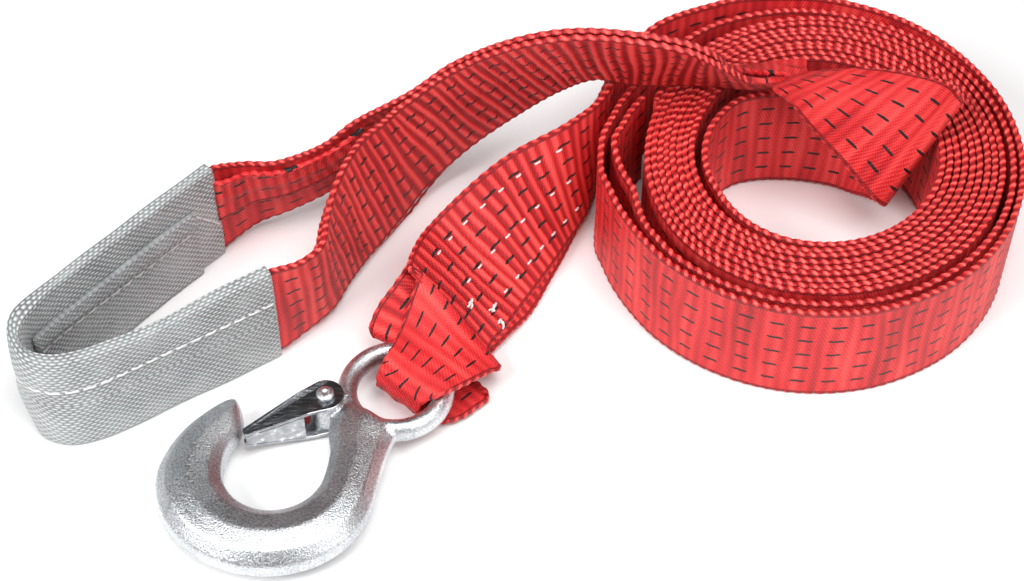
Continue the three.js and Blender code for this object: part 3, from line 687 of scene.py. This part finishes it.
def sleeve_finish():
    g = Graph("grey_sleeve_cloth", Roughness=0.6, Sheen_Weight=0.2)
    across, along = g.weave()
    slow = g.vector(g.times(across, 0.06), g.times(along, 0.06))
    shake = g.noise(slow, 1.0)
    lane = g.calc("FLOOR", g.calc("DIVIDE", across, SLEEVE_PITCH))
    step = g.calc("MULTIPLY_ADD", lane, math.pi, g.times(shake, 5.0))
    over = g.wave(along, 2 * SLEEVE_PITCH, step)
    pad = g.times(over, g.wave(across, SLEEVE_PITCH, -math.pi / 2))
    # Painted light and shade: the pads are painted bright and the pits between them dark, with a
    # little random shake.
    tone = g.calc("ADD", g.times(pad, 0.8), g.times(shake, 0.3))
    grey = g.ramp(
        tone, (0.08, (0.13, 0.14, 0.145)), (0.32, (0.42, 0.44, 0.445)), (0.8, (0.76, 0.78, 0.78))
    )
    return g.done(grey, g.bump(pad, 0.55 * MM))


grey_cloth = sleeve_finish()
print("sleeve: one yarn every", SLEEVE_PITCH, "mm")

# %% [markdown]
# ## Sleeve tube
# A rounded oblong swept along the bight makes the tube. It has an inner skin too, so that
# its open mouths show the cloth's thickness, and it is crumpled most at the bend.

# %% Sleeve
SLEEVE_HEIGHT = 51.6
SLEEVE_HALF = 3.3
SLEEVE_WALL = 1.1
RING = 64
# Powers under 1 make the tube's flat sides flatter and its folded edges tighter.
HEIGHT_POWER, DEPTH_POWER = 0.75, 0.22
SAG, SAG_AT, SAG_RANGE = 3.2, 48.0, 20
BEND_RANGE = 22
sleeve_rows = band_rows(upright_pairs(sleeve_middle, 0.4, SLEEVE_HEIGHT), step=1.1)


def sleeve_outline(inset):
    """(across, out) round the flattened tube, from the middle of its height."""
    turn = np.arange(RING) / RING * 2 * math.pi
    high, deep = SLEEVE_HEIGHT / 2 - inset, SLEEVE_HALF - inset
    across = high * np.sign(np.sin(turn)) * np.abs(np.sin(turn)) ** HEIGHT_POWER
    out = deep * np.sign(np.cos(turn)) * np.abs(np.cos(turn)) ** DEPTH_POWER
    return across, out


def sleeve_skin(inset):
    """Points of the tube's skin; only the outer one is crumpled, most of all at the bend."""
    across, out = (v[None] for v in sleeve_outline(inset))
    along = sleeve_rows.along[:, None]
    crumple = 0.35 * np.sin(along / 5.3 + across / 7) + 0.3 * np.sin(along / 9.1 - across / 4.4)
    bend = np.exp(-((along - sleeve_rows.length * 0.5) / BEND_RANGE) ** 2)
    lift = out + np.sign(out) * crumple * (0.35 + 1.1 * bend) * (inset == 0)
    sag = SAG * np.exp(-(((along - SAG_AT) / SAG_RANGE) ** 2))
    height = across - sag * np.clip(across / (SLEEVE_HEIGHT / 2), 0, 1) ** 2
    spots = sleeve_rows.middle[:, None] + sleeve_rows.across[:, None] * height[..., None]
    return spots + sleeve_rows.normal[:, None] * lift[..., None]


outer, inner = sleeve_skin(0), sleeve_skin(SLEEVE_WALL)
count = len(sleeve_rows.along)
outer_faces = tube_faces(count, RING)[:-2]
shift = count * RING
inner_faces = [[v + shift for v in quad[::-1]] for quad in outer_faces]
rims = []
for row, flip in ((0, 1), (count - 1, -1)):
    for k in range(RING):
        a, b = row * RING + k, row * RING + (k + 1) % RING
        rims.append([b, a, a + shift, b + shift][::flip])
outline = np.array(sleeve_outline(0))
steps_round = np.hypot(*(np.roll(outline, -1, axis=1) - outline))
distance = np.concatenate([[0], np.cumsum(steps_round)[:-1]])
distance = np.minimum(distance, steps_round.sum() - distance)
ring_uv = np.broadcast_arrays(distance[None] * MM, sleeve_rows.along[:, None] * MM)
ring_uv = np.stack([np.stack(ring_uv, -1)] * 2)
sleeve_faces = outer_faces + inner_faces + rims
sleeve = link_mesh("wear_sleeve", np.stack([outer, inner]), sleeve_faces, ring_uv, grey_cloth)
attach(sleeve, "strap")
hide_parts("eye_sleeve")
print("sleeve is", round(sleeve_rows.length), "mm long")

# %% [markdown]
# ## Sleeve flap
# The sleeve's cloth is closed by a hemmed flap on the inner face. Its folded hem stands
# a little proud, which draws a dark line along the upper third of the back arm. A thin
# closed strip with a thicker, slanted hem gives that line real depth.

# %% Sleeve flap
FLAP_TOP = 39.0
HEM = 9.0
HEM_LOW = FLAP_TOP - HEM
FLAP_STARTS, FLAP_ENDS_BEFORE = 0.54, 13
INSIDE_EYE = np.array([-262, -62])
flap_share = sleeve_rows.along > sleeve_rows.length * FLAP_STARTS
flap_share &= sleeve_rows.along < sleeve_rows.length - FLAP_ENDS_BEFORE
flap_at = np.where(flap_share)[0]
flap_middle, flap_normal = sleeve_rows.middle[flap_at], sleeve_rows.normal[flap_at]
heights = np.concatenate([np.linspace(0.6, HEM_LOW, 14), np.linspace(HEM_LOW + 0.7, FLAP_TOP, 8)])
in_hem = heights > HEM_LOW
along = sleeve_rows.along[flap_at][:, None]
slant = 0.5 * np.abs(np.sin(math.pi * (along + 0.5 * heights[None]) / 2.6)) * in_hem[None]
ripple = 0.25 * np.sin(along / 11 + heights[None] / 9)
front_lift = SLEEVE_HALF + 0.9 + 1.1 * in_hem[None] + slant + ripple
back_lift = np.broadcast_to(SLEEVE_HALF + 0.25 + 0.2 * in_hem[None], front_lift.shape)
flap_height = heights + 0.8 * np.sin(along / 13) * (heights / FLAP_TOP)
inward = np.sign(((INSIDE_EYE - flap_middle[:, :2]) * flap_normal[:, :2]).sum(1))


def flap_side(lift):
    spots = flap_middle[:, None] + (inward[:, None] * flap_normal)[:, None] * lift[..., None]
    spots[..., 2] = flap_height
    return spots


ring = np.concatenate([flap_side(front_lift), flap_side(back_lift)[:, ::-1]], axis=1)
around = np.concatenate([heights, 2 * FLAP_TOP - heights[::-1]])
flap_uv = np.stack(np.broadcast_arrays(around[None] * MM, along * MM), -1)
flap_faces = tube_faces(len(flap_at), ring.shape[1])
flap = link_mesh("sleeve_flap", ring, flap_faces, flap_uv, grey_cloth)
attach(flap, "strap")

# %% [markdown]
# ## Stitches
# White thread closes the sleeve and shows along the legs' sewn edges. Each stitch is a
# short arc of thread that comes out of the cloth and dives back in, so a row of small
# bent tubes reads as sewing from any side, where a painted line would lie dead flat.

# %% Stitches
def thread_finish():
    g = Graph("white_thread", Roughness=0.5, Sheen_Weight=0.3)
    ply = g.noise(g.place(), 2600.0)
    colour = g.ramp(ply, (0.3, (0.55, 0.53, 0.52)), (0.7, (0.92, 0.91, 0.9)))
    return g.done(colour, g.bump(ply, 0.2 * MM))


white_thread = thread_finish()
THREAD_RADIUS = 0.42
THREAD_SIDES = 6


def thread_rings(points):
    """Rings of a round thread along points in mm."""
    points = np.asarray(points, float)
    forward = unit(np.gradient(points, axis=0))
    side = unit(np.cross(forward, (0.13, 0.21, 0.97)))
    up = np.cross(side, forward)
    turn = np.arange(THREAD_SIDES) / THREAD_SIDES * 2 * math.pi
    circle = side[:, None] * np.cos(turn)[None, :, None] + up[:, None] * np.sin(turn)[None, :, None]
    return points[:, None] + THREAD_RADIUS * circle


def sew(name, runs):
    """One piece from many short runs of thread."""
    vertices, faces = [], []
    for points in runs:
        rings = thread_rings(points)
        base = sum(len(v) for v in vertices)
        vertices.append(rings.reshape(-1, 3))
        faces += [[v + base for v in quad] for quad in tube_faces(len(points), THREAD_SIDES)]
    piece = link_mesh(name, np.vstack(vertices), faces, None, white_thread)
    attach(piece, "strap")
    print(name, "has", len(runs), "stitches")
    return piece


ARC = np.sin(np.linspace(0, math.pi, 7))


def stitch_line(rows, first, last, height, lift, pitch=6.2, length=4.6):
    """Arcs of thread along a band, at a height across it; height may be a function."""
    runs = []
    for start in np.arange(first, last - length, pitch):
        spots = np.linspace(start, start + length, len(ARC))
        heights = [height(s) if callable(height) else height for s in spots]
        lifts = lift + np.sign(lift) * (0.35 * ARC - 0.2)
        runs.append([rows.point(*at) for at in zip(spots, heights, lifts)])
    return runs


end = sleeve_rows.length
outside = -inward[0]
CUFF = FLAP_ENDS_BEFORE
SEAM_HEIGHT, CUFF_SLOPE = 9.0, 1.2
back_height = HEM_LOW - 2.8 - SLEEVE_HEIGHT / 2
front_seam = stitch_line(sleeve_rows, 1, end * 0.5, SEAM_HEIGHT, outside * (SLEEVE_HALF + 0.35))
back_seam = stitch_line(
    sleeve_rows, end * 0.56, end - 14, back_height, -outside * (SLEEVE_HALF + 1.2)
)
# The last few stitches slant down across the cuff.
cuff_seam = stitch_line(
    sleeve_rows, end - CUFF, end, lambda s: SEAM_HEIGHT - CUFF_SLOPE * (s - end + CUFF),
    -outside * (SLEEVE_HALF + 0.3), 4.4, 3.4,
)
sew("sleeve_stitches", front_seam + back_seam + cuff_seam)

# %% [markdown]
# ## Seams of the webbing
# Three seams hold the stretch to the hook and one the front leg. The places were read in
# space, so a search along the band turns each into a distance along and across it.

# %% Stitches and thread ends of the webbing
LEG_SEAM = -21.5
leg_seam = stitch_line(under_rows, 6, under_rows.length - 2, LEG_SEAM, FACE_HALF + 0.45, 5.6, 3.6)
sew("leg_stitches", leg_seam)


def nearest(rows, spot, before):
    """How far along and across a band a point lies, looking only before a given length."""
    away = np.asarray(spot, float) - rows.middle
    across = (away * rows.across).sum(1)
    gap = np.linalg.norm(away - rows.across * across[:, None], axis=1)
    k = int(np.argmin(np.where(rows.along < before, gap, np.inf)))
    return rows.along[k], across[k]


loose_length = band_rows(loose_pairs, 5).length
OUT_LENGTH = 190.0
out_end = loose_length + OUT_LENGTH
start, _ = nearest(hook_rows, (-97.5, 5, 25), out_end)
stop, _ = nearest(hook_rows, (-139, -52, 17), out_end)
HOOK_SEAMS = (-15.5, -1.0, 15.5)
hook_seams = []
for height in HOOK_SEAMS:
    hook_seams += stitch_line(hook_rows, start, stop, height, FACE_HALF + 0.65, 9.2, 2.4)
sew("hook_stretch_stitches", hook_seams)

# Where a seam was tied off, a few loose thread ends stand up in a tuft.
TUFTS = ((-139, -53.5, 15.3), (-130, -53.2, 9.5), (-127.5, -56.5, 7))
TUFT_THREADS, TUFT_REACH = 5, 3.6
tufts = []
for n, spot in enumerate(TUFTS):
    ahead, height = nearest(hook_rows, spot, out_end)
    for k in range(TUFT_THREADS):
        a = 1.9 * k + 0.7 * k * k + 2.1 * n
        long = TUFT_REACH * (0.55 + 0.45 * math.cos(2.3 * k + n))
        curl = 0.8 * math.sin(3.1 * k + n)
        tufts.append([
            hook_rows.point(
                ahead + long * math.cos(a + curl * t) * t,
                height + long * math.sin(a + curl * t) * t,
                FACE_HALF + 0.3 + 1.7 * math.sin(2.6 * t),
            )
            for t in np.linspace(0, 1, 7)
        ])
sew("thread_tufts", tufts)

# %% [markdown]
# ## Hook finish
# The hook is a steel forging, blasted and then zinc plated. The blasted skin scatters
# light in fine grains, so the roughness and the bump come from a sharp noise, and larger
# patches of grey stand for the uneven plating.

# %% Hook finish
def zinc_finish():
    g = Graph("zinc_plated_forging", Metallic=1.0)
    spot = g.place()
    grain = g.noise(spot, 1500.0, 3.0)
    patch = g.noise(spot, 60.0)
    tone = g.calc("ADD", g.times(grain, 0.75), g.times(patch, 0.3))
    colour = g.ramp(
        tone, (0.3, (0.28, 0.29, 0.30)), (0.5, (0.62, 0.64, 0.66)), (0.72, (0.93, 0.94, 0.96))
    )
    rough = g.calc("MULTIPLY_ADD", grain, 0.3, 0.24)
    return g.done(colour, g.bump(grain, 0.22 * MM), rough)


def latch_finish():
    g = Graph("polished_latch_sheet", Metallic=1.0)
    spot = g.place()
    stretch = g.nodes.new("ShaderNodeMapping")
    g.plug(stretch.inputs["Vector"], spot)
    stretch.inputs["Rotation"].default_value = (0, 0, math.radians(20))
    stretch.inputs["Scale"].default_value = (120, 900, 400)
    scratch = g.noise(stretch.outputs[0], 1.0, 3.0)
    colour = g.ramp(
        scratch, (0.4, (0.32, 0.33, 0.345)), (0.6, (0.46, 0.47, 0.49)), (0.7, (0.88, 0.9, 0.92))
    )
    rough = g.calc("MULTIPLY_ADD", scratch, 0.25, 0.12)
    return g.done(colour, g.bump(scratch, 0.06 * MM), rough)


zinc = zinc_finish()
latch_steel = latch_finish()
print("two steels:", zinc.name, "and", latch_steel.name)

# %% [markdown]
# ## Hook body
# A drop forging has no sharp inner corners: eye, neck and bowl flow into each other. So
# a bowl is lofted through rounded sections, a ring is added for the eye, and a voxel
# remesh melts both into one skin, which a few smoothing passes then round off.

# %% Hook body
HOOK_MIDDLE = 10.2
BOWL_CENTRE = EYE_CENTRE[:2] + (-44.5, -39)
BOWL_RADIUS = 19.5
# Angle and radius round the bowl's centre, width in the hook's plane, thickness
bowl_sections = [
    (117, 15.5, 7, 7), (120, 13.6, 12, 11), (126, 12, 15.5, 13.5), (136, 11, 17.5, 15),
    (150, 11, 19.5, 16.5), (166, 11.4, 22, 18), (182, 12.3, 24.6, 19), (198, 12.8, 25.6, 19.6),
    (214, 12.8, 25.6, 20), (228, 12.6, 25.2, 20), (245, 12.4, 24.8, 20), (262, 12.2, 24.4, 20),
    (280, 12.1, 24.2, 19.6), (298, 12, 24, 19), (316, 11.6, 23.2, 18.4), (334, 10.8, 21.6, 17.6),
    (350, 10.2, 20.4, 16.6),
]
# Place from the bowl's centre, heading, width, thickness
neck_sections = [
    (31, 5, 78, 21, 15.4), (31.5, 15, 72, 25, 14.2), (34, 23.5, 60, 26, 13), (35.4, 26, 56, 22, 11),
]
SECTION_SHAPE = [
    (-1, -0.5), (-1, 0.5), (-0.62, 0.86), (0, 1), (0.62, 0.8),
    (1, 0.3), (1, -0.3), (0.62, -0.8), (0, -1), (-0.62, -0.86),
]


def hook_section(x, y, heading, width, thick):
    out = np.array([math.cos(heading), math.sin(heading), 0])
    middle = np.array([BOWL_CENTRE[0] + x, BOWL_CENTRE[1] + y, HOOK_MIDDLE])
    up = np.array([0, 0, thick / 2])
    return [middle + out * u * width / 2 + v * up for u, v in SECTION_SHAPE]


stations = []
for degrees, extra, width, thick in bowl_sections:
    a, r = math.radians(degrees), BOWL_RADIUS + extra
    stations.append(hook_section(r * math.cos(a), r * math.sin(a), a, width, thick))
for x, y, heading, width, thick in neck_sections:
    stations.append(hook_section(x, y, math.radians(heading - 90), width, thick))
stations = np.array(stations)
lengthwise = np.stack([smooth_line(stations[:, k])[::4] for k in range(len(SECTION_SHAPE))], axis=1)
loft_faces = tube_faces(len(lengthwise), len(SECTION_SHAPE))
loft = link_mesh("hook_body", lengthwise, loft_faces)

EYE_MEAN, EYE_BAR, EYE_BAR_HIGH = 19.0, 8.0, 10.0
LUG_RADIUS, LUG_WIDTH = 6.4, 13
SKIN_VOXEL = 0.75
bpy.ops.mesh.primitive_torus_add(
    major_radius=EYE_MEAN * MM, minor_radius=EYE_BAR / 2 * MM, major_segments=96, minor_segments=32,
    location=to_frame(EYE_CENTRE),
)
eye = bpy.context.object
eye.scale.z = EYE_BAR_HIGH / EYE_BAR
RIVET = np.array([BOWL_CENTRE[0] + 18, BOWL_CENTRE[1] + 31, HOOK_MIDDLE])
bpy.ops.mesh.primitive_cylinder_add(
    vertices=48, radius=LUG_RADIUS * MM, depth=LUG_WIDTH * MM, location=to_frame(RIVET)
)
lug = bpy.context.object
for piece in (eye, lug, loft):
    piece.select_set(True)
bpy.context.view_layer.objects.active = loft
bpy.ops.object.join()


def settle(piece, *modifiers):
    """Adds modifiers by (kind, settings) and applies them to the mesh."""
    for kind, settings in modifiers:
        modifier = piece.modifiers.new(kind.lower(), kind)
        for key, value in settings.items():
            setattr(modifier, key, value)
    worked = piece.evaluated_get(bpy.context.evaluated_depsgraph_get())
    shape = bpy.data.meshes.new_from_object(worked)
    piece.modifiers.clear()
    piece.data = shape
    shape.polygons.foreach_set("use_smooth", [True] * len(shape.polygons))


settle(
    loft,
    ("REMESH", {"mode": "VOXEL", "voxel_size": SKIN_VOXEL * MM, "use_smooth_shade": True}),
    ("SMOOTH", {"factor": 0.5, "iterations": 9}),
)
loft.data.materials.clear()
loft.data.materials.append(zinc)
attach(loft, "hook")
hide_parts("hook")
print("hook has", len(loft.data.polygons), "faces")

# %% [markdown]
# ## Latch
# The latch is pressed from sheet: two tapered cheeks joined by a web on the bowl's side.
# Plates with a small bevel catch a thin line of light along each edge, as cut sheet does.

# %% Latch
CHEEK_RADIUS, LATCH_TIP, LATCH_SHEET, CHEEK_GAP = 7.2, 1.7, 1.5, 13.6
TIP_GAP, BEND_FROM, WEB_FROM, BEVEL = 5.0, 9.0, 11, 0.28
latch_tip = np.array([BOWL_CENTRE[0] - 12.4, BOWL_CENTRE[1] + 16.5, HOOK_MIDDLE])
latch_run = (latch_tip - RIVET)[:2]
latch_length = float(np.hypot(*latch_run))
heading = math.atan2(latch_run[1], latch_run[0])


def plate(outline, low, high):
    """A flat plate over an outline in the latch's own directions, between two heights."""
    c, s = math.cos(heading), math.sin(heading)
    flat = np.asarray(outline) @ np.array([[c, s], [-s, c]]) + RIVET[:2]
    # The sheet bends in past the rivet, so both cheeks draw together at the tip.
    drawn_in = [0, (CHEEK_GAP - TIP_GAP) / 2]
    pinch = np.interp([p[0] for p in outline], [BEND_FROM, latch_length], drawn_in)
    return [np.column_stack([flat, RIVET[2] + z - np.sign(z) * pinch]) for z in (low, high)]


half_turn = np.linspace(0.5, 1.5, 25) * math.pi
round_end = [(CHEEK_RADIUS * math.cos(a), CHEEK_RADIUS * math.sin(a)) for a in half_turn]
bend = CHEEK_RADIUS + (LATCH_TIP - CHEEK_RADIUS) * BEND_FROM / latch_length
cheek = round_end + [
    (BEND_FROM, -bend), (latch_length, -LATCH_TIP), (latch_length + 0.6, 0),
    (latch_length, LATCH_TIP), (BEND_FROM, bend),
]
web_top = CHEEK_RADIUS - (CHEEK_RADIUS - LATCH_TIP) / latch_length * WEB_FROM
web = [
    (WEB_FROM, web_top - LATCH_SHEET), (latch_length, LATCH_TIP - LATCH_SHEET),
    (latch_length, LATCH_TIP), (WEB_FROM, web_top),
]
vertices, faces = [], []
for outline, low, high in (
    (cheek, CHEEK_GAP / 2, CHEEK_GAP / 2 + LATCH_SHEET),
    (cheek, -CHEEK_GAP / 2 - LATCH_SHEET, -CHEEK_GAP / 2),
    (web, -CHEEK_GAP / 2, CHEEK_GAP / 2),
):
    base = sum(len(v) for v in vertices)
    vertices += plate(outline, low, high)
    faces += [[v + base for v in quad] for quad in tube_faces(2, len(outline))]
latch = link_mesh("latch_plates", np.vstack(vertices), faces, None, latch_steel, smooth=False)
settle(latch, ("BEVEL", {"width": BEVEL * MM, "segments": 2, "limit_method": "ANGLE"}))
latch.data.polygons.foreach_set("use_smooth", [False] * len(latch.data.polygons))
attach(latch, "latch")
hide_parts("latch")
print("latch is", round(latch_length, 1), "mm from rivet to tip")

# %% [markdown]
# ## Rivet
# A rivet is a turned part, so a short profile is spun round its axis, mirrored for the
# second head.

# %% Rivet
HEAD_RADIUS, HEAD_HEIGHT, HEAD_RIM, RIVET_RADIUS = 3.5, 1.6, 0.5, 3.0
RIVET_SIDES = 40
reach = CHEEK_GAP / 2 + LATCH_SHEET + 0.3
dome = [
    (HEAD_RADIUS * math.cos(a), reach + HEAD_RIM + (HEAD_HEIGHT - HEAD_RIM) * math.sin(a))
    for a in np.linspace(0, 1.2, 6)
]
dome += [(0.9, reach + 1.2), (0.3, reach + 1.0)]
profile = [(RIVET_RADIUS, 0), (RIVET_RADIUS, reach), (HEAD_RADIUS, reach), *dome]
profile = [(r, -z) for r, z in profile[:0:-1]] + profile[1:]
turn = np.arange(RIVET_SIDES) / RIVET_SIDES * 2 * math.pi
circle = np.column_stack([np.cos(turn), np.sin(turn), 0 * turn])
rings = [circle * r + (0, 0, z) + RIVET for r, z in profile]
rivet_faces = tube_faces(len(rings), RIVET_SIDES)
rivet = link_mesh("latch_rivet_domed", rings, rivet_faces, None, zinc)
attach(rivet, "hook")
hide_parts("latch_rivet")
print("rivet head", 2 * HEAD_RADIUS, "mm across")

# %% [markdown]
# ## Floor
# The strap lies on a plain pale floor. A plane is enough, with a trace of tint and bump.

# %% Floor
bpy.ops.mesh.primitive_plane_add(size=8, location=(0, 0, 0))
floor = bpy.context.object
floor.name = "floor"
floor_graph = Graph("pale_floor", Roughness=0.7)
tint = floor_graph.noise(floor_graph.place(), 3.0)
floor_colour = floor_graph.ramp(tint, (0.0, (0.92, 0.92, 0.92)), (1.0, (0.95, 0.95, 0.95)))
floor_graph.done(floor_colour, floor_graph.bump(tint, 0.1 * MM))
floor.data.materials.append(floor_graph.material)

# %% [markdown]
# ## Light
# A large soft light from the left gives the webbing its sheen, a second fills from the
# right, a third hangs above. The room darkens to the back, for the steel to mirror.

# %% Lights
def soft_light(name, place, size, power):
    """A square lamp that points at the frame's origin."""
    data = bpy.data.lights.new(name, "AREA")
    data.size = size
    data.energy = power
    lamp = bpy.data.objects.new(name, data)
    bpy.context.collection.objects.link(lamp)
    lamp.location = place
    x, y, z = place
    lamp.rotation_euler = (math.atan2(math.hypot(x, y), z), 0, math.atan2(-y, -x) - math.pi / 2)


soft_light("key_light", (-0.9, -0.6, 1.0), 0.7, 17)
soft_light("fill_light", (1.0, -0.8, 0.8), 0.8, 8)
soft_light("top_light", (0.3, -0.3, 1.5), 1.0, 20)
world = bpy.data.worlds.new("bright_room")
bpy.context.scene.world = world
world.use_nodes = True
room = world.node_tree
direction = room.nodes.new("ShaderNodeTexCoord").outputs["Generated"]
split = room.nodes.new("ShaderNodeSeparateXYZ")
room.links.new(direction, split.inputs[0])
depth = room.nodes.new("ShaderNodeMapRange")
limits = {"From Min": -0.2, "From Max": 0.62, "To Min": 1.05, "To Max": 0.72}
for socket, value in limits.items():
    depth.inputs[socket].default_value = value
room.links.new(split.outputs["Y"], depth.inputs["Value"])
room.links.new(depth.outputs[0], room.nodes["Background"].inputs["Strength"])
bpy.context.scene.view_settings.view_transform = "Standard"
print("three soft lights and a bright room")
